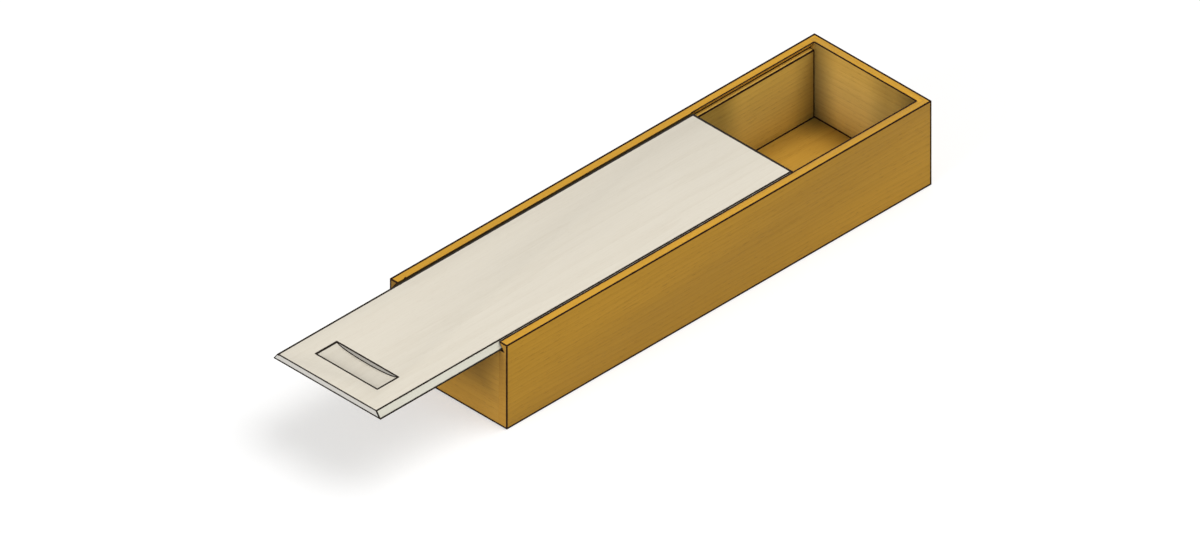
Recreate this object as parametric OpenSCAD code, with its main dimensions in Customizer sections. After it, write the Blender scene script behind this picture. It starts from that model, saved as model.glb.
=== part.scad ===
// Long narrow wooden box with a lid that slides in a dovetail groove.
// Four thin boards stand round a bottom panel. The lid runs in a sloping groove under the rim of
// the two side boards, passes over the lower front board, and stops at the back board.
// +Z is up, the lid is drawn out towards -Y, and the origin is the middle of the underside.
// All lengths are in millimetres.

/* [Box] */
// Outside length of the box, front to back
box_l = 210; // [140:1:300]
// Outside width of the box
box_w = 58; // [50:1:110]
// Outside height of the box
box_h = 36; // [24:1:80]
// Thickness of the side and end boards
wall_t = 4; // [3.6:0.1:6]
// Thickness of the bottom panel
floor_t = 4; // [3:0.1:6]

/* [Corner joints] */
// Thickness of the tongue on each end board, from its inner face
tongue_t = 2; // [1.6:0.1:2.6]
// Depth of the tongue in the side board
tongue_d = 2; // [1.2:0.1:2.6]
// Width of the rebate that holds the bottom panel, from the inner faces
rebate_w = 2; // [1.2:0.1:2.6]
// Glue line round the tongues and round the edge of the bottom panel
glue_gap = 0.05; // [0.02:0.01:0.15]

/* [Lid groove] */
// Height of the groove under the rim
groove_h = 3.3; // [2.8:0.1:4.5]
// Slope of the groove from the vertical, in degrees
groove_angle = 35; // [20:1:38]

/* [Lid] */
// Thickness of the lid
lid_t = 2.9; // [2.5:0.1:3.3]
// Running gap beside the lid, square to its sloping edges
side_gap = 0.5; // [0.3:0.05:0.8]
// Running gap under the lid
lift_gap = 0.3; // [0.2:0.05:0.5]
// Gap between the closed lid and the back board
end_gap = 0.3; // [0.2:0.1:1.5]
// Distance that the lid is drawn out
lid_out = 60; // [0:1:140]

/* [Finger pull] */
// Width of the finger pull, across the lid
pull_w = 30; // [20:1:38]
// Length of the finger pull, along the lid
pull_l = 10; // [6:0.5:16]
// Depth of the finger pull at its middle
pull_d = 1.95; // [1:0.05:2.1]
// Distance from the front edge of the lid to the finger pull
pull_setback = 10; // [5:0.5:30]

/* [Edges] */
// Width of the eased outer edges
edge_ease = 0.2; // [0.1:0.05:0.6]

/* [Hidden] */

box_wood = [0.76, 0.58, 0.24];
lid_wood = [0.87, 0.85, 0.78];

// Overrun of every cut past the face that it opens through
cut_over = 1;
// Straight runs of the finger pull's half ellipse
pull_steps = 36;

inner_x = box_w / 2 - wall_t;
inner_y = box_l / 2 - wall_t;
ledge_z = box_h - groove_h;
lid_z = ledge_z + lift_gap;
lid_l = box_l - wall_t - end_gap;
lid_front_y = -box_l / 2 - lid_out;

// Half the width of the groove at height z, less a gap square to its slope
function groove_half(z, gap) =
    inner_x + (box_h - z) * tan(groove_angle) - gap / cos(groove_angle);

// Rectangle with its four corners cut at 45 degrees, centred across and standing on y = 0
module eased_rectangle(width, height, ease) {
    polygon([
        [-width / 2 + ease, 0],
        [width / 2 - ease, 0],
        [width / 2, ease],
        [width / 2, height - ease],
        [width / 2 - ease, height],
        [-width / 2 + ease, height],
        [-width / 2, height - ease],
        [-width / 2, ease],
    ]);
}

// Outline in X and Z, run along Y between two places
module along_y(from_y, to_y) {
    translate([0, to_y, 0])
        rotate([90, 0, 0])
            linear_extrude(height = to_y - from_y)
                children();
}

// Outline in Y and Z, run along X, centred
module along_x(length) {
    rotate([90, 0, 90])
        linear_extrude(height = length, center = true)
            children();
}

// The box as one solid block of height top, with every outer edge eased
module eased_block(top) {
    intersection() {
        along_y(-box_l / 2, box_l / 2)
            eased_rectangle(box_w, top, edge_ease);
        along_x(box_w)
            eased_rectangle(box_l, top, edge_ease);
        translate([0, -box_l / 2, 0])
            linear_extrude(height = top)
                eased_rectangle(box_w, box_l, edge_ease);
    }
}

// Section of the lid's channel from one height to another, less a gap at each slope
module dovetail_section(low_z, high_z, gap) {
    polygon([
        [-groove_half(low_z, gap), low_z],
        [groove_half(low_z, gap), low_z],
        [groove_half(high_z, gap), high_z],
        [-groove_half(high_z, gap), high_z],
    ]);
}

// Channel that the lid runs in, open at the front and stopped at the back board
module lid_channel() {
    along_y(-box_l / 2 - cut_over, inner_y)
        dovetail_section(ledge_z, box_h + cut_over, 0);
}

// Slab of the bottom panel's outline, grown all round, from one height to the top of the panel
module panel_slab(grow, from_z) {
    half_x = inner_x + rebate_w + grow;
    half_y = inner_y + rebate_w + grow;
    translate([-half_x, -half_y, from_z])
        cube([2 * half_x, 2 * half_y, floor_t - from_z]);
}

// Bar through both side boards that is a tongue at each end, at the back, grown for its housing
module tongue_bar(top, grow) {
    half_x = inner_x + tongue_d + grow;
    translate([-half_x, inner_y, floor_t])
        cube([2 * half_x, tongue_t + grow, top - floor_t]);
}

// Left side board: housed for both tongues, rebated for the panel, grooved for the lid
module left_side() {
    color(box_wood)
        difference() {
            intersection() {
                eased_block(box_h);
                translate([-box_w / 2, -box_l / 2, 0])
                    cube([wall_t, box_l, box_h]);
            }
            lid_channel();
            panel_slab(glue_gap, -cut_over);
            tongue_bar(box_h + cut_over, glue_gap);
            mirror([0, 1, 0])
                tongue_bar(ledge_z, glue_gap);
        }
}

// Right side board, the mirror image of the left one
module right_side() {
    mirror([1, 0, 0])
        left_side();
}

// End board at the back, of the height given: its outer half butts the side boards and its inner
// half carries the tongues
module end_board(top) {
    difference() {
        union() {
            intersection() {
                eased_block(top);
                translate([-inner_x, inner_y, 0])
                    cube([2 * inner_x, wall_t, top]);
            }
            tongue_bar(top, 0);
        }
        panel_slab(glue_gap, -cut_over);
    }
}

// Front board, as high as the ledges that the lid runs on
module front_end() {
    color(box_wood)
        mirror([0, 1, 0])
            end_board(ledge_z);
}

// Back board, as high as the rim, which stops the lid
module back_end() {
    color(box_wood)
        end_board(box_h);
}

// Bottom panel, let into the rebates and flush with the underside
module bottom_panel() {
    color(box_wood)
        panel_slab(0, 0);
}

// Half ellipse of the finger pull, open upwards, in X and Z about the middle of its mouth
module pull_section() {
    polygon(concat(
        [[pull_w / 2, cut_over], [-pull_w / 2, cut_over]],
        [for (step = [0 : pull_steps])
            let (turn = 180 + 180 * step / pull_steps)
            [pull_w / 2 * cos(turn), pull_d * sin(turn)]]
    ));
}

// Sliding lid: dovetail edges, square ends and a scooped finger pull near its front edge
module sliding_lid() {
    color(lid_wood)
        translate([0, lid_front_y, lid_z])
            difference() {
                intersection() {
                    translate([0, 0, -lid_z])
                        along_y(0, lid_l)
                            dovetail_section(lid_z, lid_z + lid_t, side_gap);
                    translate([0, lid_l / 2, 0])
                        along_x(box_w)
                            eased_rectangle(lid_l, lid_t, edge_ease);
                }
                translate([0, 0, lid_t])
                    along_y(pull_setback, pull_setback + pull_l)
                        pull_section();
            }
}

left_side();
right_side();
front_end();
back_end();
bottom_panel();
sliding_lid();
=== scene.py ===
import math

import bmesh
import bpy
from bpy.props import FloatProperty, FloatVectorProperty, IntProperty, PointerProperty
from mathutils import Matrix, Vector


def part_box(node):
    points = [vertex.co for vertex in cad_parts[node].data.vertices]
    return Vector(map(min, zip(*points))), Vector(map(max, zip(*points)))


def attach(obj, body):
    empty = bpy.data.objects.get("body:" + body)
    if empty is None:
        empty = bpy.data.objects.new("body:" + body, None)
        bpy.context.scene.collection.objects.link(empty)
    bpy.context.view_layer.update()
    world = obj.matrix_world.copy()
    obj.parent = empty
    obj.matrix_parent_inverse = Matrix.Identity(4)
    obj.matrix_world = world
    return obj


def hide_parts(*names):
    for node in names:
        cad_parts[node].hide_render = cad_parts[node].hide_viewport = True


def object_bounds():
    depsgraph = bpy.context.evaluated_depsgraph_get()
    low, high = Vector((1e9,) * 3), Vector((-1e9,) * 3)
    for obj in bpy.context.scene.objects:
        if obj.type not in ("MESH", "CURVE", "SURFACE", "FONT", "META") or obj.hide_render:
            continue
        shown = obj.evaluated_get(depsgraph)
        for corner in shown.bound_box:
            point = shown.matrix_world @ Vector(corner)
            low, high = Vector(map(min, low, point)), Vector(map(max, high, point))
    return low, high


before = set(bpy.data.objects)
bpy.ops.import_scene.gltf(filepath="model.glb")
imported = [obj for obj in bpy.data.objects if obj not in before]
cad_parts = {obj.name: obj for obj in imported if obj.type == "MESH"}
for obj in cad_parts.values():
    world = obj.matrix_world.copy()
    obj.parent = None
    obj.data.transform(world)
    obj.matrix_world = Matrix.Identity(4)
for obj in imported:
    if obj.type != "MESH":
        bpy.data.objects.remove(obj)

bl_info = {
    "name": "Sliding lid box",
    "version": (1, 0, 0),
    "blender": (4, 5, 0),
    "location": "View3D > Sidebar > Lid box",
    "description": "Dresses a long wooden box with a sliding lid: boards, grain, finish and studio",
    "category": "Object",
}

MM = 0.001
CAD_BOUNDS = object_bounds()
# Distance within which two places count as one, and depth of the skin of a face
TOUCH = 0.01 * MM
SKIN = 0.1 * MM
# Distance past the reach of a toned line, that past the reach of a corner's tone, and one past the whole box
CLEAR = 10 * MM
BEYOND = 20 * MM
OPEN = 1.0


def screen_colour(red, green, blue):
    """Scene colour of a colour that is given as it shows on a screen, 0 to 255."""
    shown = [value / 255 for value in (red, green, blue)]
    return tuple(v / 12.92 if v <= 0.04045 else ((v + 0.055) / 1.055) ** 2.4 for v in shown)


# Settings that a user would change


class BoardSettings(bpy.types.PropertyGroup):
    """How the edges of the boards are softened."""

    arris_round: FloatProperty(
        name="Arris rounding", description="Width of the sanded round on every visible edge",
        default=0.07 * MM, min=0.02 * MM, max=0.2 * MM, unit="LENGTH", precision=5)
    arris_steps: IntProperty(
        name="Rounding steps", description="Faces across each rounded edge", default=3, min=1, max=6)


class FinishSettings(bpy.types.PropertyGroup):
    """Colours and figure of the two woods."""

    box_wood: FloatVectorProperty(
        name="Box wood", description="Golden-brown colour of the oiled boards",
        default=screen_colour(206, 155, 50), size=3, min=0, max=1, subtype="COLOR")
    box_glaze: FloatVectorProperty(
        name="Box edge glaze", description="Dark wax that stays on edges and in corners of the box",
        default=screen_colour(40, 22, 11), size=3, min=0, max=1, subtype="COLOR")
    lid_wood: FloatVectorProperty(
        name="Lid wood", description="Pale colour of the lid",
        default=screen_colour(221, 214, 199), size=3, min=0, max=1, subtype="COLOR")
    lid_glaze: FloatVectorProperty(
        name="Lid edge tone", description="Grey-brown tone on the edges of the lid",
        default=screen_colour(42, 36, 30), size=3, min=0, max=1, subtype="COLOR")
    edge_line: FloatProperty(
        name="Edge tone width", description="Width of the toned line beside each edge",
        default=0.45 * MM, min=0.1 * MM, max=1.5 * MM, unit="LENGTH", precision=5)
    box_ring_width: FloatProperty(
        name="Box ring width", description="Distance between growth rings in the box boards",
        default=1.9 * MM, min=0.8 * MM, max=5 * MM, unit="LENGTH", precision=5)
    lid_ring_width: FloatProperty(
        name="Lid ring width", description="Distance between growth rings in the lid",
        default=2.6 * MM, min=0.8 * MM, max=6 * MM, unit="LENGTH", precision=5)


class StageSettings(bpy.types.PropertyGroup):
    """Floor, lamps and camera."""

    floor_size: FloatProperty(
        name="Floor size", description="Side of the square floor", default=8.0, min=2, max=20, unit="LENGTH")
    sky_level: FloatProperty(
        name="Sky level", description="Even light from all round", default=0.30, min=0, max=1)
    key_power: FloatProperty(
        name="Key lamp power", description="Power of the large lamp overhead", default=34.5, min=0, max=200,
        unit="POWER")
    key_size: FloatProperty(
        name="Key lamp size", description="Side of the large lamp overhead", default=1.7, min=0.1, max=4,
        unit="LENGTH")
    key_height: FloatProperty(
        name="Key lamp height", description="Height of the large lamp over the floor", default=2.0, min=0.3,
        max=5, unit="LENGTH")
    fill_power: FloatProperty(
        name="Fill lamp power", description="Power of the lamp in front of the box", default=19.5, min=0,
        max=200, unit="POWER")
    view_width: FloatProperty(
        name="View width", description="Width of the scene that the camera takes in",
        default=419.18 * MM, min=0.2, max=2, unit="LENGTH", precision=4)
    view_azimuth: FloatProperty(
        name="View azimuth", description="Camera's turn round the box, from the front",
        default=math.radians(45), subtype="ANGLE")
    view_elevation: FloatProperty(
        name="View elevation", description="Camera's angle above the floor, that of an isometric view",
        default=math.atan(math.sqrt(0.5)), subtype="ANGLE")
    aim_right: FloatProperty(
        name="Aim right", description="Middle of the view, to the right of the box's origin",
        default=-21.19 * MM, unit="LENGTH", precision=5)
    aim_up: FloatProperty(
        name="Aim up", description="Middle of the view, above the box's origin",
        default=2.43 * MM, unit="LENGTH", precision=5)


# Node helpers


def add_node(tree, kind, label, **settings):
    node = tree.nodes.new(kind)
    node.label = label
    for name, value in settings.items():
        setattr(node, name, value)
    return node


def feed(tree, socket, value):
    """Links a socket to the input, or writes a plain value into it."""
    if isinstance(value, bpy.types.NodeSocket):
        tree.links.new(value, socket)
    else:
        socket.default_value = value


def math_node(tree, operation, first, second=None, third=None, clamp=False):
    node = add_node(tree, "ShaderNodeMath", operation.lower(), operation=operation, use_clamp=clamp)
    for socket, value in zip(node.inputs, (first, second, third)):
        if value is not None:
            feed(tree, socket, value)
    return node.outputs[0]


def vector_node(tree, operation, first, second=None, scale=None):
    node = add_node(tree, "ShaderNodeVectorMath", operation.lower(), operation=operation)
    feed(tree, node.inputs[0], first)
    if second is not None:
        feed(tree, node.inputs[1], second)
    if scale is not None:
        feed(tree, node.inputs["Scale"], scale)
    return node.outputs["Value"] if operation in ("LENGTH", "DOT_PRODUCT") else node.outputs[0]


def split(tree, vector):
    node = add_node(tree, "ShaderNodeSeparateXYZ", "split")
    feed(tree, node.inputs[0], vector)
    return node.outputs


def ramp(tree, value, low, high, to_low=0.0, to_high=1.0):
    """Smooth step of a value from one level to another."""
    node = add_node(tree, "ShaderNodeMapRange", "ramp", interpolation_type="SMOOTHSTEP")
    feed(tree, node.inputs["Value"], value)
    feed(tree, node.inputs["From Min"], low)
    feed(tree, node.inputs["From Max"], high)
    feed(tree, node.inputs["To Min"], to_low)
    feed(tree, node.inputs["To Max"], to_high)
    return node.outputs["Result"]


def noise(tree, place, scale, label, detail=2.0, roughness=0.5):
    """Noise texture of a place that is scaled by a factor for each axis."""
    node = add_node(tree, "ShaderNodeTexNoise", label)
    feed(tree, node.inputs["Vector"], vector_node(tree, "MULTIPLY", place, scale))
    node.inputs["Scale"].default_value = 1.0
    node.inputs["Detail"].default_value = detail
    node.inputs["Roughness"].default_value = roughness
    return node


def mix_colour(tree, amount, first, second, blend="MIX"):
    node = add_node(tree, "ShaderNodeMix", "mix colour", data_type="RGBA", blend_type=blend)
    by_id = {socket.identifier: socket for socket in node.inputs}
    feed(tree, by_id["Factor_Float"], amount)
    for name, colour in (("A_Color", first), ("B_Color", second)):
        if not isinstance(colour, bpy.types.NodeSocket):
            colour = (*colour[:3], 1.0)
        feed(tree, by_id[name], colour)
    return next(socket for socket in node.outputs if socket.identifier == "Result_Color")


def new_group(name, inputs, outputs):
    """Node group with named sockets: inputs as (name, kind, default), outputs as names of values."""
    group = bpy.data.node_groups.new(name, "ShaderNodeTree")
    for title, kind, default in inputs:
        socket = group.interface.new_socket(title, in_out="INPUT", socket_type=kind)
        socket.default_value = default
    for title in outputs:
        group.interface.new_socket(title, in_out="OUTPUT", socket_type="NodeSocketFloat")
    source = add_node(group, "NodeGroupInput", "in")
    target = add_node(group, "NodeGroupOutput", "out")
    return group, source.outputs, target.inputs


def place_group(tree, name, **values):
    """Puts a node group in a material and feeds its inputs, named with underscores for spaces."""
    node = add_node(tree, "ShaderNodeGroup", name, node_tree=bpy.data.node_groups[name])
    for title, value in values.items():
        feed(tree, node.inputs[title.replace("_", " ")], value)
    return node.outputs


# Effects that both woods share


# Scales of the noises in the wood, along the grain and twice across it, for places in mm
WANDER_SCALE = (0.011, 0.045, 0.045)
RING_SCALE = (0.0, 0.16, 0.16)
FIBRE_SCALE = (0.06, 2.6, 2.6)
PORE_SCALE = (0.32, 3.6, 3.6)
TONE_SCALE = (0.010, 0.05, 0.05)
# Shift of the figure for each unit of its seed, in mm
SEED_SHIFT = (17.3, 41.9, 29.1)
# How much the widths of the rings vary, in rings, how steeply late wood sets in, and where in a ring it ends
RING_CHANGE = 2.2
LATE_RISE = 2.6
LATE_END = 0.9
# Levels of the noise between which a pore opens, and what late wood adds to it
PORE_LEVELS = (0.63, 0.74)
LATE_PORES = 0.06


def make_wood_figure():
    """Growth rings, fibres, pores and slow tone of solid wood, from a place in mm with the grain along X."""
    group, given, result = new_group(
        "wood figure",
        [("Place", "NodeSocketVector", (0, 0, 0)), ("Pith", "NodeSocketVector", (0, 0, -60)),
         ("Ring Width", "NodeSocketFloat", 2.0), ("Wander", "NodeSocketFloat", 3.0),
         ("Seed", "NodeSocketFloat", 0.0)],
        ["Late Wood", "Fibre", "Pores", "Tone"])
    shift = vector_node(group, "SCALE", SEED_SHIFT, scale=given["Seed"])
    place = vector_node(group, "ADD", given["Place"], shift)
    slow = noise(group, place, WANDER_SCALE, "wander")
    centred = vector_node(group, "SUBTRACT", slow.outputs["Color"], (0.5, 0.5, 0.5))
    wander = vector_node(group, "SCALE", centred, scale=given["Wander"])
    radial = vector_node(group, "SUBTRACT", vector_node(group, "ADD", given["Place"], wander), given["Pith"])
    reach = vector_node(group, "LENGTH", vector_node(group, "MULTIPLY", radial, (0.0, 1.0, 1.0)))
    count = math_node(group, "DIVIDE", reach, given["Ring Width"])
    uneven = noise(group, radial, RING_SCALE, "ring widths", detail=1.0)
    count = math_node(group, "ADD", count, math_node(group, "MULTIPLY", uneven.outputs["Fac"], RING_CHANGE))
    phase = math_node(group, "FRACT", count)
    rise = math_node(group, "POWER", phase, LATE_RISE)
    fall = ramp(group, phase, LATE_END, 1.0, 1.0, 0.0)
    late = math_node(group, "MULTIPLY", rise, fall)
    feed(group, result["Late Wood"], late)
    fine = noise(group, place, FIBRE_SCALE, "fibres", detail=3.0, roughness=0.62)
    feed(group, result["Fibre"], fine.outputs["Fac"])
    dots = noise(group, place, PORE_SCALE, "pores", detail=1.0)
    crowd = math_node(group, "ADD", dots.outputs["Fac"], math_node(group, "MULTIPLY", late, LATE_PORES))
    feed(group, result["Pores"], ramp(group, crowd, *PORE_LEVELS))
    cloud = noise(group, place, TONE_SCALE, "tone", detail=3.0)
    feed(group, result["Tone"], cloud.outputs["Fac"])


# Unevenness of a toned line, as if put on by hand: scale of its noise for places in mm, how much it changes
# the width, and the least share of the width
HAND_SCALE = (0.5, 0.5, 0.5)
HAND_CHANGE = 0.3
HAND_LEAST = 0.85


def make_edge_line():
    """Mask of a narrow line beside the edges of a box, for a place in mm, with a slightly uneven width.

    Slope is how far the sides of the box lean out for each mm below its top, and then the box is centred on
    X = 0."""
    group, given, result = new_group(
        "edge line",
        [("Place", "NodeSocketVector", (0, 0, 0)), ("Low", "NodeSocketVector", (0, 0, 0)),
         ("High", "NodeSocketVector", (1, 1, 1)), ("Slope", "NodeSocketFloat", 0.0),
         ("Width", "NodeSocketFloat", 0.4), ("Fade", "NodeSocketFloat", 0.3)],
        ["Line"])
    px, py, pz = split(group, given["Place"])
    high_x, _, high_z = split(group, given["High"])
    below_top = math_node(group, "SUBTRACT", high_z, pz)
    half = math_node(group, "MULTIPLY_ADD", below_top, given["Slope"], high_x)
    upright_x = math_node(group, "DIVIDE", math_node(group, "MULTIPLY", px, high_x), half)
    upright = add_node(group, "ShaderNodeCombineXYZ", "sides made upright")
    for socket, value in zip(upright.inputs, (upright_x, py, pz)):
        feed(group, socket, value)
    past_low = vector_node(group, "SUBTRACT", upright.outputs[0], given["Low"])
    short_of_high = vector_node(group, "SUBTRACT", given["High"], upright.outputs[0])
    nearest = vector_node(group, "MINIMUM", vector_node(group, "ABSOLUTE", past_low),
                          vector_node(group, "ABSOLUTE", short_of_high))
    x, y, z = split(group, nearest)
    low_pair = math_node(group, "MINIMUM", x, y)
    high_pair = math_node(group, "MAXIMUM", x, y)
    second = math_node(group, "MAXIMUM", low_pair, math_node(group, "MINIMUM", high_pair, z))
    inward = vector_node(group, "MINIMUM", vector_node(group, "MINIMUM", past_low, short_of_high), (0, 0, 0))
    outside = vector_node(group, "LENGTH", inward)
    distance = math_node(group, "MAXIMUM", second, outside)
    rough = noise(group, given["Place"], HAND_SCALE, "uneven hand")
    uneven = math_node(group, "MULTIPLY_ADD", rough.outputs["Fac"], HAND_CHANGE, HAND_LEAST)
    inner = math_node(group, "MULTIPLY", given["Width"], uneven)
    outer = math_node(group, "ADD", inner, given["Fade"])
    feed(group, result["Line"], ramp(group, distance, inner, outer, 1.0, 0.0))


def make_scoop_line():
    """Mask of a narrow line round both end walls of a half-elliptical scoop along Y, for a place in mm.

    Middle is the middle of its mouth, and Reach holds its half width, its half length and its depth."""
    group, given, result = new_group(
        "scoop line",
        [("Place", "NodeSocketVector", (0, 0, 0)), ("Middle", "NodeSocketVector", (0, 0, 0)),
         ("Reach", "NodeSocketVector", (1, 1, 1)), ("Width", "NodeSocketFloat", 0.2),
         ("Fade", "NodeSocketFloat", 0.1)],
        ["Line"])
    offset = vector_node(group, "SUBTRACT", given["Place"], given["Middle"])
    share = vector_node(group, "DIVIDE", offset, given["Reach"])
    share = vector_node(group, "MULTIPLY", share, (1, 0, 1))
    radius = vector_node(group, "LENGTH", share)
    steepness = vector_node(group, "LENGTH", vector_node(group, "DIVIDE", share, given["Reach"]))
    off_curve = math_node(group, "ABSOLUTE", math_node(group, "SUBTRACT", radius, 1.0))
    off_curve = math_node(group, "DIVIDE", math_node(group, "MULTIPLY", off_curve, radius), steepness)
    along = math_node(group, "ABSOLUTE", split(group, offset)[1])
    half_length = split(group, given["Reach"])[1]
    off_wall = math_node(group, "ABSOLUTE", math_node(group, "SUBTRACT", along, half_length))
    distance = math_node(group, "MAXIMUM", off_curve, off_wall)
    outer = math_node(group, "ADD", given["Width"], given["Fade"])
    feed(group, result["Line"], ramp(group, distance, given["Width"], outer, 1.0, 0.0))


def make_within():
    """Mask of what lies inside a box, for a place in mm, which fades out round the box."""
    group, given, result = new_group(
        "within",
        [("Place", "NodeSocketVector", (0, 0, 0)), ("Low", "NodeSocketVector", (0, 0, 0)),
         ("High", "NodeSocketVector", (1, 1, 1)), ("Fade", "NodeSocketFloat", 0.1)],
        ["Inside"])
    past_low = vector_node(group, "SUBTRACT", given["Place"], given["Low"])
    short_of_high = vector_node(group, "SUBTRACT", given["High"], given["Place"])
    x, y, z = split(group, vector_node(group, "MINIMUM", past_low, short_of_high))
    depth = math_node(group, "MINIMUM", math_node(group, "MINIMUM", x, y), z)
    start = math_node(group, "MULTIPLY", given["Fade"], -1.0)
    feed(group, result["Inside"], ramp(group, depth, start, 0.0))


# Cosines, between a face's normal and the grain, at which the face starts and ends to turn into end grain
END_LEVELS = (0.55, 0.9)


def make_end_grain():
    """Mask of faces that are cut across the grain, from the normal and the direction of the grain."""
    group, given, result = new_group(
        "end grain",
        [("Normal", "NodeSocketVector", (0, 0, 1)), ("Grain", "NodeSocketVector", (1, 0, 0))],
        ["End"])
    along = math_node(group, "ABSOLUTE", vector_node(group, "DOT_PRODUCT", given["Normal"], given["Grain"]))
    feed(group, result["End"], ramp(group, along, *END_LEVELS))


# Materials


# Turn about Z that brings the grain of a board to X, and the direction of its grain
GRAIN_TURN = {"X": 0.0, "Y": -math.pi / 2}
GRAIN_WAY = {"X": (1, 0, 0), "Y": (0, 1, 0)}
# How each board was cut from its log: the way of its grain, the place of the pith in mm with the grain
# turned to X, the tilt of the grain in radians, and the seed of the figure
BOARD_CUT = {
    "left_side": {"grain": "Y", "pith": (0, 46, -58), "tilt": 0.012, "seed": 3.0},
    "right_side": {"grain": "Y", "pith": (0, -52, -74), "tilt": 0.012, "seed": 7.0},
    "front_end": {"grain": "X", "pith": (0, -190, -40), "tilt": 0.02, "seed": 11.0},
    "back_end": {"grain": "X", "pith": (0, 30, 95), "tilt": 0.02, "seed": 17.0},
    "bottom_panel": {"grain": "Y", "pith": (0, 6, -48), "tilt": -0.01, "seed": 23.0},
    "sliding_lid": {"grain": "Y", "pith": (0, 9, -6), "tilt": 0.035, "seed": 31.0},
}
# Fading out of a toned line, as a share of its width, and of the edge of a finished space and of the painted
# shade in a corner, in mm
LINE_FADE = 0.35
SPACE_FADE = 0.05
CORNER_SHADE_REACH = 13.0
# Levels of the slow tone and of the fibres between which they show
TONE_LEVELS = (0.3, 0.7)
FIBRE_LEVELS = (0.36, 0.66)
# Relief of the grain: strength, depth, and height of late wood beside that of the fibres
RELIEF_STRENGTH = 0.6
RELIEF_DEPTH = 0.02 * MM
LATE_RELIEF = 0.5
# What the fibres and end grain change in the roughness, and the roughness of the coat
FIBRE_ROUGHNESS = 0.16
END_ROUGHNESS = 0.12
COAT_ROUGHNESS = 0.35


def new_material(name, view_colour):
    material = bpy.data.materials.new(name)
    material.use_nodes = True
    material.diffuse_color = (*view_colour[:3], 1.0)
    tree = material.node_tree
    tree.nodes.clear()
    return material, tree


def in_mm(corner):
    return tuple(value / MM for value in corner)


def wood_colour(tree, figure, end, wood):
    """Colour of the bare wood, from its figure and the mask of its end grain."""
    base = Vector(wood["colour"])
    tone = ramp(tree, figure["Tone"], *TONE_LEVELS)
    colour = mix_colour(tree, tone, base * wood["tone_low"], base * wood["tone_high"])
    late = math_node(tree, "MULTIPLY", figure["Late Wood"], wood["ring_strength"])
    colour = mix_colour(tree, late, colour, wood["late_colour"])
    streak = ramp(tree, figure["Fibre"], *FIBRE_LEVELS, 0.0, wood["fibre_strength"])
    colour = mix_colour(tree, streak, colour, wood["fibre_colour"])
    pores = math_node(tree, "MULTIPLY", figure["Pores"], wood["pore_strength"])
    colour = mix_colour(tree, pores, colour, wood["pore_colour"])
    end = math_node(tree, "MULTIPLY", end, wood["end_strength"])
    return mix_colour(tree, end, colour, wood["end_colour"])


def finish_mask(tree, place, end, low, high, where):
    """Mask of a space that is finished otherwise.

    It is "all" of the space, what is cut across the grain in it, "ends", its upright "corners", or it fades
    in towards its "foot", its "head", or a part that is given as (low corner, high corner, fade in mm)."""
    space = {"Place": place, "Low": in_mm(low), "High": in_mm(high)}
    within = place_group(tree, "within", **space, Fade=SPACE_FADE)["Inside"]
    if where == "all":
        return within
    if where == "ends":
        part = end
    if where == "corners":
        part = place_group(tree, "edge line", **space, Width=0.0, Fade=CORNER_SHADE_REACH)["Line"]
    if where == "foot":
        part = ramp(tree, split(tree, place)[2], low.z / MM, high.z / MM, 1.0, 0.0)
    if where == "head":
        part = ramp(tree, split(tree, place)[2], low.z / MM, high.z / MM)
    if isinstance(where, tuple):
        part_low, part_high, fade = where
        part = place_group(tree, "within", Place=place, Low=in_mm(part_low), High=in_mm(part_high),
                           Fade=fade)["Inside"]
    return math_node(tree, "MULTIPLY", within, part)


def toned_mask(tree, place, lines, scoop):
    """Mask of all the toned lines of a board."""
    toned = None
    for low, high, slope, width in lines:
        line = place_group(tree, "edge line", Place=place, Low=in_mm(low), High=in_mm(high), Slope=slope,
                           Width=width / MM, Fade=width / MM * LINE_FADE)["Line"]
        toned = line if toned is None else math_node(tree, "MAXIMUM", toned, line)
    if scoop:
        low, high, width = scoop
        middle = (low + high) / 2
        middle.z = high.z
        reach = (high - low) / 2
        reach.z = high.z - low.z
        line = place_group(tree, "scoop line", Place=place, Middle=in_mm(middle), Reach=in_mm(reach),
                           Width=width / MM, Fade=width / MM * LINE_FADE)["Line"]
        toned = math_node(tree, "MAXIMUM", toned, line)
    return toned


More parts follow.
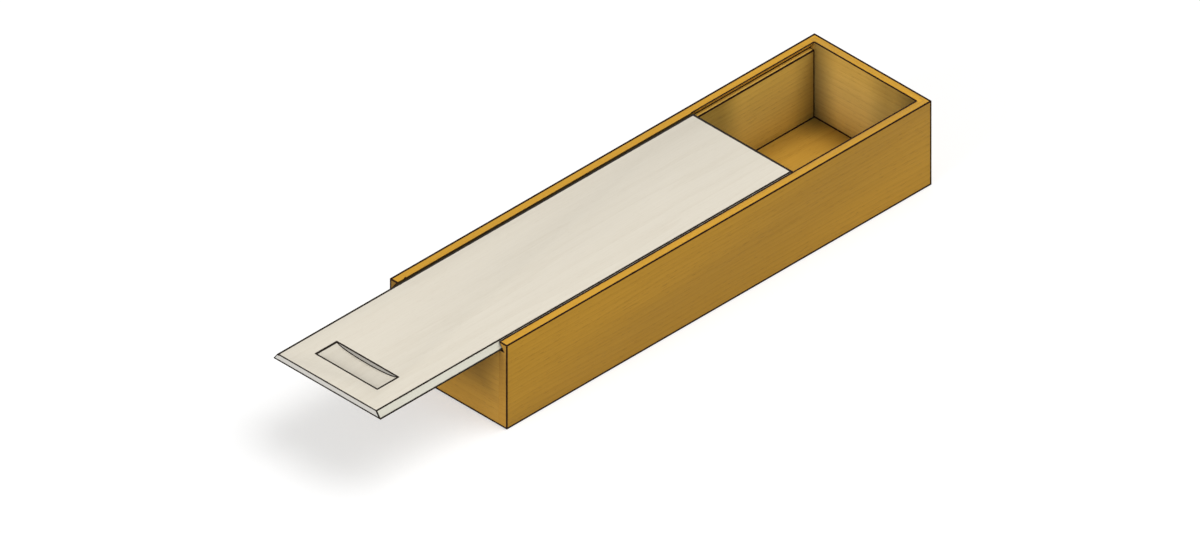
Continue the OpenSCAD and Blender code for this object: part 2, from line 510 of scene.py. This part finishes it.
def wood_material(node, wood, lines, tones_and_painted_light, scoop):
    """Solid wood of a board, whose figure runs through all of it, so that sides, ends and cuts agree.

    wood holds the colours and the strength of the figure. lines holds the boxes whose edges carry a toned
    line, each as (low corner, high corner, slope of its sides, width). The fourth argument holds the spaces
    toned otherwise, most of them with painted light or shade, each as (low corner, high corner, factor on the
    colour, where in it). scoop is None or a half-elliptical hollow along Y with toned end walls: (low corner,
    high corner, width)."""
    name = node.replace("_", " ") + " wood"
    cut = BOARD_CUT[node]
    material, tree = new_material(name, wood["colour"])
    where = add_node(tree, "ShaderNodeTexCoord", "place on the board")
    metric = add_node(tree, "ShaderNodeMapping", "metres to millimetres")
    feed(tree, metric.inputs["Vector"], where.outputs["Object"])
    metric.inputs["Scale"].default_value = (1 / MM, 1 / MM, 1 / MM)
    place = metric.outputs["Vector"]
    turned = add_node(tree, "ShaderNodeMapping", "grain along X")
    feed(tree, turned.inputs["Vector"], place)
    turned.inputs["Rotation"].default_value = (0, cut["tilt"], GRAIN_TURN[cut["grain"]])
    figure = place_group(
        tree, "wood figure", Place=turned.outputs["Vector"], Pith=cut["pith"], Ring_Width=wood["ring_width"],
        Wander=wood["wander"], Seed=cut["seed"])
    way = GRAIN_WAY[cut["grain"]]
    end = place_group(tree, "end grain", Normal=where.outputs["Normal"], Grain=way)["End"]

    colour = wood_colour(tree, figure, end, wood)
    for low, high, factor, part in tones_and_painted_light:
        mask = finish_mask(tree, place, end, low, high, part)
        colour = mix_colour(tree, mask, colour, vector_node(tree, "MULTIPLY", colour, factor))
    toned = toned_mask(tree, place, lines, scoop)
    colour = mix_colour(tree, toned, colour, wood["glaze"])

    height = math_node(tree, "MULTIPLY_ADD", figure["Pores"], -1.0, figure["Fibre"])
    height = math_node(tree, "MULTIPLY_ADD", figure["Late Wood"], LATE_RELIEF, height)
    bump = add_node(tree, "ShaderNodeBump", "grain relief")
    bump.inputs["Strength"].default_value = RELIEF_STRENGTH
    bump.inputs["Distance"].default_value = RELIEF_DEPTH
    feed(tree, bump.inputs["Height"], height)
    least = wood["roughness"] - FIBRE_ROUGHNESS / 2
    sheen = math_node(tree, "MULTIPLY_ADD", figure["Fibre"], FIBRE_ROUGHNESS, least)
    sheen = math_node(tree, "MULTIPLY_ADD", end, END_ROUGHNESS, sheen)
    sheen = math_node(tree, "MAXIMUM", sheen, toned)

    surface = add_node(tree, "ShaderNodeBsdfPrincipled", name)
    feed(tree, surface.inputs["Base Color"], colour)
    feed(tree, surface.inputs["Roughness"], sheen)
    feed(tree, surface.inputs["Normal"], bump.outputs["Normal"])
    surface.inputs["Specular IOR Level"].default_value = wood["gloss"]
    surface.inputs["Coat Weight"].default_value = wood["coat"]
    surface.inputs["Coat Roughness"].default_value = COAT_ROUGHNESS
    out = add_node(tree, "ShaderNodeOutputMaterial", "out")
    tree.links.new(surface.outputs[0], out.inputs["Surface"])
    return material


def scaled(colour, *factors):
    return tuple(value * factor for value, factor in zip(colour, factors))


def box_finish():
    """Golden-brown oiled and waxed wood of the box."""
    look = bpy.context.scene.lid_box_finish
    colour = tuple(look.box_wood)
    return {
        "colour": colour, "tone_low": 0.93, "tone_high": 1.06,
        "ring_width": look.box_ring_width / MM, "wander": 5.0,
        "ring_strength": 0.21, "late_colour": scaled(colour, 0.55, 0.42, 0.35),
        "fibre_strength": 0.14, "fibre_colour": scaled(colour, 0.66, 0.56, 0.45),
        "pore_strength": 0.28, "pore_colour": scaled(colour, 0.34, 0.25, 0.25),
        "end_strength": 0.30, "end_colour": scaled(colour, 0.58, 0.5, 0.42),
        "glaze": tuple(look.box_glaze), "roughness": 0.5, "gloss": 0.12, "coat": 0.02,
    }


def lid_finish():
    """Pale, close-grained wood of the lid, under a thin matt wax."""
    look = bpy.context.scene.lid_box_finish
    colour = tuple(look.lid_wood)
    return {
        "colour": colour, "tone_low": 0.98, "tone_high": 1.01,
        "ring_width": look.lid_ring_width / MM, "wander": 6.0,
        "ring_strength": 0.12, "late_colour": scaled(colour, 0.72, 0.66, 0.56),
        "fibre_strength": 0.12, "fibre_colour": scaled(colour, 0.80, 0.76, 0.69),
        "pore_strength": 0.10, "pore_colour": scaled(colour, 0.6, 0.55, 0.48),
        "end_strength": 0.75, "end_colour": (0.715, 0.70, 0.67),
        "glaze": tuple(look.lid_glaze), "roughness": 0.55, "gloss": 0.16, "coat": 0.0,
    }


# Pieces


# Distance up to which points are joined, and angles up to which two faces count as one, past which their edge
# is rounded, and up to which it is shaded smooth
MERGE_DISTANCE = 0.002 * MM
FLAT_ANGLE = math.radians(0.5)
SHARP_ANGLE = math.radians(18)
SMOOTH_ANGLE = math.radians(32)
# Length up to which an edge isn't rounded
SHORT_EDGE = 1.0 * MM


def select_only(target):
    for other in list(bpy.context.selected_objects):
        other.select_set(False)
    if target is not None:
        target.select_set(True)
        bpy.context.view_layer.objects.active = target


def copy_board(node):
    """Closed copy of a board of the frame, with its flat faces joined, ready for its edges to be finished."""
    piece = bpy.data.objects.new(node + "_board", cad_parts[node].data.copy())
    bpy.context.scene.collection.objects.link(piece)
    piece.data.name = piece.name
    piece.data.materials.clear()
    select_only(piece)
    bpy.ops.object.mode_set(mode="EDIT")
    bpy.ops.mesh.select_all(action="SELECT")
    bpy.ops.mesh.remove_doubles(threshold=MERGE_DISTANCE)
    bpy.ops.mesh.dissolve_limited(angle_limit=FLAT_ANGLE)
    bpy.ops.object.mode_set(mode="OBJECT")
    return piece


def round_edges(piece):
    """Sands the outward edges of a board round with a bevel, apart from the short ones."""
    settings = bpy.context.scene.lid_box_board
    mesh = bmesh.new()
    mesh.from_mesh(piece.data)
    layers = mesh.edges.layers.float
    weights = layers.get("bevel_weight_edge") or layers.new("bevel_weight_edge")
    for edge in mesh.edges:
        if len(edge.link_faces) == 2 and edge.calc_length() > SHORT_EDGE:
            if edge.calc_face_angle_signed() > SHARP_ANGLE:
                edge[weights] = 1.0
    mesh.to_mesh(piece.data)
    mesh.free()
    bevel = piece.modifiers.new("sanded edges", "BEVEL")
    bevel.limit_method = "WEIGHT"
    bevel.width = settings.arris_round
    bevel.segments = settings.arris_steps
    bevel.use_clamp_overlap = False
    bevel.harden_normals = True
    select_only(piece)
    bpy.ops.object.modifier_apply(modifier=bevel.name)
    bpy.ops.object.shade_smooth_by_angle(angle=SMOOTH_ANGLE)


def dress_board(node, wood, lines, tones_and_painted_light, body, scoop=None):
    """Makes the piece that takes the place of a board: a copy with rounded edges, in a wood of its own."""
    piece = copy_board(node)
    round_edges(piece)
    piece.data.materials.append(wood_material(node, wood, lines, tones_and_painted_light, scoop))
    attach(piece, body)
    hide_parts(node)
    select_only(None)


# Places on the boards


def cavity_box():
    """Corners of the space inside the box, up to the rim."""
    low = Vector((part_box("left_side")[1].x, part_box("front_end")[1].y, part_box("bottom_panel")[1].z))
    high = Vector((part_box("right_side")[0].x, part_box("back_end")[0].y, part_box("left_side")[1].z))
    return low, high


def outer_box():
    """Corners of the box without its lid."""
    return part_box("left_side")[0].copy(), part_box("right_side")[1].copy()


def ledge_height():
    """Height of the ledges that the lid runs on, level with the top of the front board."""
    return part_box("front_end")[1].z


def board_points(node):
    return [vertex.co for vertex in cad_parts[node].data.vertices]


def above(corner, height):
    return corner + Vector((0, 0, height))


def edge_ease(node):
    """Width of the eased edge at the front of a node's top."""
    low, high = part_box(node)
    return min(p.y for p in board_points(node) if p.z > high.z - TOUCH) - low.y


def lid_section():
    """Half the width of the lid's top, and how far its sides lean out for each unit below it.

    The groove leans as they do."""
    low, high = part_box("sliding_lid")
    top_half = max(p.x for p in board_points("sliding_lid") if p.z > high.z - TOUCH)
    return top_half, (high.x - top_half) / (high.z - low.z)


# The lid's points within this share of its half width, and this far from its ends, are the finger pull's
PULL_SIDE_SHARE = 0.8
PULL_END_GAP = 2 * MM


def pull_box():
    """Corners of the finger pull in the lid."""
    low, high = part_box("sliding_lid")
    side = PULL_SIDE_SHARE * lid_section()[0]
    points = [p for p in board_points("sliding_lid")
              if abs(p.x) < side and low.y + PULL_END_GAP < p.y < high.y - PULL_END_GAP]
    pull_low = Vector([min(p[i] for p in points) for i in range(3)])
    pull_high = Vector([max(p[i] for p in points) for i in range(3)])
    return pull_low, pull_high


# Toned lines


# Widths of the toned lines of the box and of the lid, as shares of the setting
BOX_LINE = {
    "outline": 0.85, "floor": 0.7, "end_top": 0.75, "upright": 1.1,
    "left_rim": 0.5, "right_rim": 1.55, "ledge": 0.95, "root": 0.7,
}
LID_LINE = {"outline": 0.85, "front": 0.9, "pull_mouth": 0.75, "pull_curve": 0.5}
# How far wax was wiped past the box's eased edges, and further at the rim's left and back
BOX_WIPE = 0.2 * MM
RIM_LEFT_WIPE = 0.15 * MM
RIM_BACK_WIPE = 0.1 * MM
# How far it was wiped over the lid: from its foot, the left and the back of its top, the lower edge of its
# front, and the near and the right edge of its finger pull
LID_FOOT_WIPE = 0.1 * MM
LID_LEFT_WIPE = 0.35 * MM
LID_BACK_WIPE = 0.65 * MM
LID_FRONT_WIPE = 0.38 * MM
PULL_NEAR_WIPE = 0.38 * MM
PULL_RIGHT_WIPE = 0.42 * MM
# How far the box of the pull's mouth reaches under the pull, and that of the groove's root over the rim, so
# that neither draws a line there
PULL_DROP = 5 * MM
ROOT_RISE = 1 * MM


def flat_line(low, high, axis, level, width):
    """Toned line round a rectangle: the edges of a box that is thin across one axis, at a level of it."""
    low, high = low.copy(), high.copy()
    low[axis], high[axis] = level - TOUCH, level + TOUCH
    return low, high, 0.0, width


def outer_lines(node, width):
    """Toned lines on the outer edges of a board of the box.

    Where wax was wiped towards an edge on one face only, a second line widens the first: on top, at the foot,
    and at one upright edge of each side board."""
    low, high = outer_box()
    clear = Vector((CLEAR, CLEAR, CLEAR))
    wiped = edge_ease("left_side") + BOX_WIPE
    lines = [(low, high, 0.0, width * BOX_LINE["outline"]), flat_line(low, high, 2, low.z + wiped, width)]
    if node != "front_end":
        top_low = Vector((low.x + wiped + RIM_LEFT_WIPE, low.y - CLEAR, 0))
        top_high = Vector((high.x + CLEAR, high.y - wiped - RIM_BACK_WIPE, 0))
        lines.append(flat_line(top_low, top_high, 2, high.z, width))
    if node == "left_side":
        corner = Vector((low.x + wiped, 0, low.z - CLEAR))
        lines.append(flat_line(corner, high + clear, 1, low.y, width))
    if node == "right_side":
        corner = Vector((0, high.y - wiped, high.z + CLEAR))
        lines.append(flat_line(low - clear, corner, 0, high.x, width))
    return lines


def groove_lines(node, width):
    """Toned lines on the inside of a side board: its corners, the rim, the ledge and the root of the groove.

    The left board's line at the rim is wider behind the lid. The box of the root is centred on X = 0, and its
    top is raised along the slope, so that it draws no line at the rim."""
    cavity_low, cavity_high = cavity_box()
    front = outer_box()[0].y
    rim_width = width * BOX_LINE["left_rim" if node == "left_side" else "right_rim"]
    ahead = Vector((cavity_low.x, front - CLEAR, cavity_low.z - CLEAR))
    behind = Vector((cavity_low.x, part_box("sliding_lid")[1].y, 0))
    ledge = Vector((cavity_high.x, cavity_high.y, ledge_height()))
    slope = lid_section()[1]
    root_high = cavity_high + Vector((-slope, 0, 1)) * ROOT_RISE
    root_low = Vector((-root_high.x, front, ledge_height()))
    return [
        (above(cavity_low, -CLEAR), above(cavity_high, CLEAR), 0.0, width * BOX_LINE["upright"]),
        flat_line(ahead, cavity_high, 2, cavity_high.z, rim_width),
        (ahead, ledge, 0.0, width * BOX_LINE["ledge"]),
        (root_low, root_high, slope, width * BOX_LINE["root"]),
        flat_line(behind, cavity_high, 2, cavity_high.z, max(width, rim_width)),
    ]


def box_lines(node):
    """Toned lines of a board of the box: its outer edges, the corners inside the box, and its rim."""
    width = bpy.context.scene.lid_box_finish.edge_line
    low, high = cavity_box()
    lines = [flat_line(low, high, 2, low.z, width * BOX_LINE["floor"])]
    if node != "bottom_panel":
        lines += outer_lines(node, width)
    if node == "front_end":
        lines.append(flat_line(low, high, 2, ledge_height(), width * BOX_LINE["end_top"]))
    if node == "back_end":
        lines.append(flat_line(low, high, 2, high.z, width * BOX_LINE["end_top"]))
    if node in ("left_side", "right_side"):
        lines += groove_lines(node, width)
    return lines


def lid_lines():
    """Toned lines of the lid: its outline, those wiped onto its top and front, and the mouth of the pull."""
    width = bpy.context.scene.lid_box_finish.edge_line
    low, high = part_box("sliding_lid")
    top_half, slope = lid_section()
    raised = edge_ease("sliding_lid")
    half = top_half - slope * raised
    outline_low = Vector((-half, low.y, low.z + LID_FOOT_WIPE))
    outline_high = Vector((half, high.y, high.z + raised))
    top_low = Vector((LID_LEFT_WIPE - top_half, low.y - CLEAR, 0))
    top_high = Vector((high.x + CLEAR, high.y - LID_BACK_WIPE, 0))
    front_low = Vector((low.x - CLEAR, 0, low.z + LID_FRONT_WIPE))
    front_high = high + Vector((CLEAR, CLEAR, CLEAR))
    pull_low, pull_high = pull_box()
    mouth_low = pull_low - Vector((0, PULL_NEAR_WIPE, PULL_DROP))
    mouth_high = pull_high + Vector((PULL_RIGHT_WIPE, 0, 0))
    return [
        (outline_low, outline_high, slope, width * LID_LINE["outline"]),
        flat_line(top_low, top_high, 2, high.z, width),
        flat_line(front_low, front_high, 1, low.y, width * LID_LINE["front"]),
        (mouth_low, mouth_high, 0.0, width * LID_LINE["pull_mouth"]),
    ]


# Finished spaces, mostly painted light and shade


# Tones, as factors on the colour of the wood. The inside of the box has one for the whole face and one for
# its foot, both painted light that makes it paler, and one for its corners, which is painted shade
SIDE_WALLS_LIGHT_AND_SHADE = {"all": (1.14, 1.39, 2.8), "foot": (1.25, 1.51, 2.3), "corners": (0.70, 0.71, 0.76)}
END_WALLS_LIGHT_AND_SHADE = {"all": (1.07, 1.24, 2.6), "foot": (1.53, 1.88, 3.1), "corners": (0.52, 0.54, 0.62)}
FLOOR_LIGHT_AND_SHADE = {"all": (0.93, 0.99, 1.5), "corners": (0.56, 0.60, 0.70)}
# Painted shade on the floor along the foot of its walls
FLOOR_CORNER_SHADE = (0.65, 0.65, 0.65)
# Painted light that makes the front face paler, and painted shade towards its top, under the lid
FRONT_FACE_LIGHT = (1.11, 1.13, 1.8)
FRONT_TOP_SHADE = (0.76, 0.77, 0.84)
SIDE_HEAD_TONE = (0.94, 0.94, 0.95)
# Painted light that makes the grooves paler, against the shade under the rim
GROOVE_LIGHT = (1.35, 1.65, 3.4)
PULL_TONE = (0.93, 0.93, 0.93)
# Painted shade on the end walls of the finger pull
PULL_WALL_SHADE = (0.66, 0.66, 0.66)
# Painted light on the lid's sloping sides
LID_SLOPE_LIGHT = (1.05, 1.11, 1.12)
# Parts with painted shade: factor on the colour, fade in mm, and how far they reach down from the rim
GROOVE_SHADE = {"factor": 0.3, "fade": 4, "down": OPEN}
UNDER_LID_SHADE = {"factor": 0.54, "fade": 14, "down": 15 * MM}
NOTCH_SHADE = {"factor": 0.66, "fade": 8, "down": 4 * MM}
FRONT_SHADE = {"factor": 0.65, "fade": 12, "down": 16 * MM}
BACK_SHADE = {"factor": 0.66, "fade": 13, "down": 18 * MM}
# Their places: past the back of the lid, in from the left inner face, to either side of the middle of the
# front, and in from the right inner face
UNDER_LID_PAST = 12.3 * MM
NOTCH_REACH = 4 * MM
FRONT_SHADE_HALF = 13.5 * MM
BACK_SHADE_REACH = 13.5 * MM
# Reach of the groove's painted light, and of the inside's on the end boards, past the side boards' inner
# faces
GROOVE_REACH = 3 * MM
ENDS_REACH = 3 * MM


def inside_light_and_shade(tones, over=0.0):
    """Painted light and shade inside the box. All but the shaded corners may reach over the side boards."""
    low, high = cavity_box()
    wide = Vector((over, 0, 0))
    spaces = {
        "all": (low - wide, high + wide),
        "foot": (low - wide, high + wide),
        "corners": (above(low, -BEYOND), above(high, BEYOND)),
    }
    return [(*spaces[where], factor, where) for where, factor in tones.items()]


def painted_shade(walls, shade, left=-OPEN, right=OPEN, back=OPEN):
    """A part of some walls, under the rim, with painted shade that has a soft outline."""
    bottom = outer_box()[1].z - shade["down"]
    part = (Vector((left, -OPEN, bottom)), Vector((right, back, OPEN)), shade["fade"])
    return *walls, (shade["factor"],) * 3, part


def front_face(height):
    """Thin space round the outer face at the front, up to a height."""
    low, high = outer_box()
    skin = Vector((0, SKIN, 0))
    return low - skin, Vector((high.x, low.y, height)) + skin


def front_light_and_shade(height):
    """The outer face at the front, up to a height: painted light that makes it paler, with painted shade
    towards the lid.
    """
    face = front_face(height)
    return [(*face, FRONT_FACE_LIGHT, "all"), (*face, FRONT_TOP_SHADE, "head"),
            painted_shade(face, FRONT_SHADE, left=-FRONT_SHADE_HALF, right=FRONT_SHADE_HALF)]


def side_finish(side):
    """The outer face of a side board, +1 or -1, a little darker towards the rim."""
    low, high = outer_box()
    x = high.x if side > 0 else low.x
    return Vector((x - SKIN, low.y, low.z)), Vector((x + SKIN, high.y, high.z)), SIDE_HEAD_TONE, "head"


def painted_groove_light(side):
    """The groove of a side board, +1 or -1, made paler with painted light against the shade of the rim."""
    low, high = cavity_box()
    inner = high.x if side > 0 else low.x
    left, right = sorted((inner - side * SKIN, inner + side * GROOVE_REACH))
    return (Vector((left, outer_box()[0].y + SKIN, ledge_height() - SKIN)),
            Vector((right, high.y, high.z - SKIN)), GROOVE_LIGHT, "all")


def lid_tones():
    """Tones of the lid: a darker finger pull with painted shade on its end walls, and painted light on its
    slopes.
    """
    low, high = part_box("sliding_lid")
    pull_low, pull_high = pull_box()
    pull = (pull_low, above(pull_high, -SKIN))
    right_low = Vector((lid_section()[0] + SKIN, low.y - CLEAR, low.z - CLEAR))
    right_high = Vector((high.x + CLEAR, high.y + CLEAR, high.z - SKIN))
    left_low = Vector((-right_high.x, *right_low.yz))
    left_high = Vector((-right_low.x, *right_high.yz))
    return [
        (*pull, PULL_TONE, "all"),
        (*pull, PULL_WALL_SHADE, "ends"),
        (right_low, right_high, LID_SLOPE_LIGHT, "all"),
        (left_low, left_high, LID_SLOPE_LIGHT, "all"),
    ]


# Steps that dress the boards


class DressSides(bpy.types.Operator):
    """The two long side boards, with their grooves and housings"""
    bl_idname = "lid_box.sides"
    bl_label = "Side boards"

    def execute(self, context):
        lid_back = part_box("sliding_lid")[1].y
        notch_right = cavity_box()[0].x + NOTCH_REACH
        for node, side in (("left_side", -1), ("right_side", 1)):
            groove = painted_groove_light(side)
            tones = [
                *inside_light_and_shade(SIDE_WALLS_LIGHT_AND_SHADE),
                groove,
                side_finish(side),
                # Painted shade in the groove, up to the back of the lid
                painted_shade(groove[:2], GROOVE_SHADE, back=lid_back),
                *front_light_and_shade(outer_box()[1].z),
                # Painted shade on the inner faces, beside and just behind the lid
                painted_shade(cavity_box(), UNDER_LID_SHADE, back=lid_back + UNDER_LID_PAST),
                # Painted shade at the top of the front, beside the left inner face
                painted_shade(front_face(OPEN), NOTCH_SHADE, right=notch_right),
            ]
            dress_board(node, box_finish(), box_lines(node), tones, "box")
        return {"FINISHED"}


class DressEnds(bpy.types.Operator):
    """The low front board and the full-height back board"""
    bl_idname = "lid_box.ends"
    bl_label = "End boards"

    def execute(self, context):
        shade_left = cavity_box()[1].x - BACK_SHADE_REACH
        own_tones = {
            "front_end": front_light_and_shade(ledge_height()),
            # Painted shade at the right end of the back board's inner face
            "back_end": [painted_shade(cavity_box(), BACK_SHADE, left=shade_left)],
        }
        for node, own in own_tones.items():
            tones = inside_light_and_shade(END_WALLS_LIGHT_AND_SHADE, over=ENDS_REACH) + own
            dress_board(node, box_finish(), box_lines(node), tones, "box")
        return {"FINISHED"}


class DressBottom(bpy.types.Operator):
    """The bottom panel in its rebate"""
    bl_idname = "lid_box.bottom"
    bl_label = "Bottom panel"

    def execute(self, context):
        # Painted light and shade on the floor, with painted shade along the foot of its walls
        tones = [*inside_light_and_shade(FLOOR_LIGHT_AND_SHADE), (*cavity_box(), FLOOR_CORNER_SHADE, "corners")]
        dress_board("bottom_panel", box_finish(), box_lines("bottom_panel"), tones, "box")
        return {"FINISHED"}


class DressLid(bpy.types.Operator):
    """The sliding lid with its dovetail edges and scooped finger pull"""
    bl_idname = "lid_box.lid"
    bl_label = "Sliding lid"

    def execute(self, context):
        scoop = (*pull_box(), context.scene.lid_box_finish.edge_line * LID_LINE["pull_curve"])
        dress_board("sliding_lid", lid_finish(), lid_lines(), lid_tones(), "lid", scoop)
        return {"FINISHED"}


# Stage


# Distances from the middle, in metres, between which the floor turns from lit to plain white, its grey, and
# the white that is added to it near the box
FLOOR_NEAR = 0.3
FLOOR_FAR = 0.85
FLOOR_GREY = 0.55
FLOOR_LIFT = 0.5
# Places of the lamps in metres, that of the key lamp without its height, and the side of the fill lamp
KEY_PLACE = (0.58, 0.4)
FILL_PLACE = (0.0, -2.0, 0.75)
FILL_SIZE = 0.95
# Distance of the camera, and the depths between which it sees, in metres
CAMERA_DISTANCE = 1.0
CAMERA_CLIP = (0.01, 20)


def seen_directly(tree):
    """1 for camera, glossy and transmission rays, which see the plain white background."""
    path = add_node(tree, "ShaderNodeLightPath", "kind of ray")
    seen = math_node(tree, "MAXIMUM", path.outputs["Is Camera Ray"], path.outputs["Is Glossy Ray"])
    return math_node(tree, "MAXIMUM", seen, path.outputs["Is Transmission Ray"])


def make_sky(level):
    world = bpy.context.scene.world or bpy.data.worlds.new("studio")
    bpy.context.scene.world = world
    world.use_nodes = True
    tree = world.node_tree
    tree.nodes.clear()
    light = add_node(tree, "ShaderNodeBackground", "even light")
    light.inputs["Strength"].default_value = level
    shown = add_node(tree, "ShaderNodeBackground", "white backdrop")
    for node in (light, shown):
        node.inputs["Color"].default_value = (1, 1, 1, 1)
    blend = add_node(tree, "ShaderNodeMixShader", "by ray")
    feed(tree, blend.inputs[0], seen_directly(tree))
    tree.links.new(light.outputs[0], blend.inputs[1])
    tree.links.new(shown.outputs[0], blend.inputs[2])
    out = add_node(tree, "ShaderNodeOutputWorld", "out")
    tree.links.new(blend.outputs[0], out.inputs["Surface"])


def floor_material():
    """Matt white floor that keeps the object's shadow, and is plain white where the lamps no longer reach."""
    material, tree = new_material("studio floor", (1, 1, 1))
    where = add_node(tree, "ShaderNodeTexCoord", "place on the floor")
    away = vector_node(tree, "LENGTH", where.outputs["Object"])
    level = ramp(tree, away, FLOOR_NEAR, FLOOR_FAR, FLOOR_LIFT, 1.0)
    matt = add_node(tree, "ShaderNodeBsdfDiffuse", "matt white")
    matt.inputs["Color"].default_value = (FLOOR_GREY, FLOOR_GREY, FLOOR_GREY, 1)
    lift = add_node(tree, "ShaderNodeEmission", "white lift")
    lift.inputs["Color"].default_value = (1, 1, 1, 1)
    feed(tree, lift.inputs["Strength"], math_node(tree, "MULTIPLY", seen_directly(tree), level))
    both = add_node(tree, "ShaderNodeAddShader", "floor")
    tree.links.new(matt.outputs[0], both.inputs[0])
    tree.links.new(lift.outputs[0], both.inputs[1])
    out = add_node(tree, "ShaderNodeOutputMaterial", "out")
    tree.links.new(both.outputs[0], out.inputs["Surface"])
    return material


def view_axes(azimuth, elevation):
    """Directions towards the camera, to its right and up its picture."""
    back = Vector((math.sin(azimuth) * math.cos(elevation), -math.cos(azimuth) * math.cos(elevation),
                   math.sin(elevation)))
    right = Vector((math.cos(azimuth), math.sin(azimuth), 0))
    return back, right, back.cross(right)


def add_lamp(name, place, size, power):
    """Square area lamp that faces the box."""
    bpy.ops.object.light_add(type="AREA", location=place)
    lamp = bpy.context.object
    lamp.name = name
    lamp.data.energy = power
    lamp.data.size = size
    lamp.rotation_euler = (-place).to_track_quat("-Z", "Y").to_euler()


class SetStage(bpy.types.Operator):
    """White floor, even light, one large lamp overhead and the isometric camera"""
    bl_idname = "lid_box.stage"
    bl_label = "Stage"

    def execute(self, context):
        stage = context.scene.lid_box_stage
        context.scene.view_settings.view_transform = "Standard"
        select_only(None)
        bpy.ops.mesh.primitive_plane_add(size=stage.floor_size, location=(0, 0, CAD_BOUNDS[0].z))
        floor = context.object
        floor.name = "studio_floor"
        floor.data.materials.append(floor_material())
        make_sky(stage.sky_level)

        add_lamp("key_lamp", Vector((*KEY_PLACE, stage.key_height)), stage.key_size, stage.key_power)
        add_lamp("fill_lamp", Vector(FILL_PLACE), FILL_SIZE, stage.fill_power)

        back, right, up = view_axes(stage.view_azimuth, stage.view_elevation)
        aim = right * stage.aim_right + up * stage.aim_up
        bpy.ops.object.camera_add(location=aim + back * CAMERA_DISTANCE)
        camera = context.object
        camera.name = "isometric_camera"
        camera.rotation_euler = (-back).to_track_quat("-Z", "Y").to_euler()
        camera.data.type = "ORTHO"
        camera.data.ortho_scale = stage.view_width
        camera.data.clip_start, camera.data.clip_end = CAMERA_CLIP
        context.scene.camera = camera
        select_only(None)
        return {"FINISHED"}


class LidBoxPanel(bpy.types.Panel):
    """Settings and steps of the box, in the sidebar"""
    bl_idname = "VIEW3D_PT_lid_box"
    bl_label = "Sliding lid box"
    bl_space_type = "VIEW_3D"
    bl_region_type = "UI"
    bl_category = "Lid box"

    def draw(self, context):
        for title, group in (
                ("Boards", context.scene.lid_box_board),
                ("Finish", context.scene.lid_box_finish),
                ("Stage", context.scene.lid_box_stage)):
            column = self.layout.column(align=True)
            column.label(text=title)
            for name in group.bl_rna.properties.keys():
                if name not in ("rna_type", "name"):
                    column.prop(group, name)
        for step in STEPS:
            self.layout.operator(step.bl_idname)


SETTINGS = {"lid_box_board": BoardSettings, "lid_box_finish": FinishSettings, "lid_box_stage": StageSettings}
STEPS = (SetStage, DressSides, DressEnds, DressBottom, DressLid)
CLASSES = (*SETTINGS.values(), *STEPS, LidBoxPanel)


def register():
    for kind in CLASSES:
        bpy.utils.register_class(kind)
    for name, kind in SETTINGS.items():
        setattr(bpy.types.Scene, name, PointerProperty(type=kind))


def unregister():
    for name in SETTINGS:
        delattr(bpy.types.Scene, name)
    for kind in reversed(CLASSES):
        bpy.utils.unregister_class(kind)


def main():
    register()
    make_wood_figure()
    make_edge_line()
    make_scoop_line()
    make_within()
    make_end_grain()
    bpy.ops.lid_box.stage()
    bpy.ops.lid_box.sides()
    bpy.ops.lid_box.ends()
    bpy.ops.lid_box.bottom()
    bpy.ops.lid_box.lid()
    bpy.context.view_layer.update()


if __name__ == "__main__":
    main()
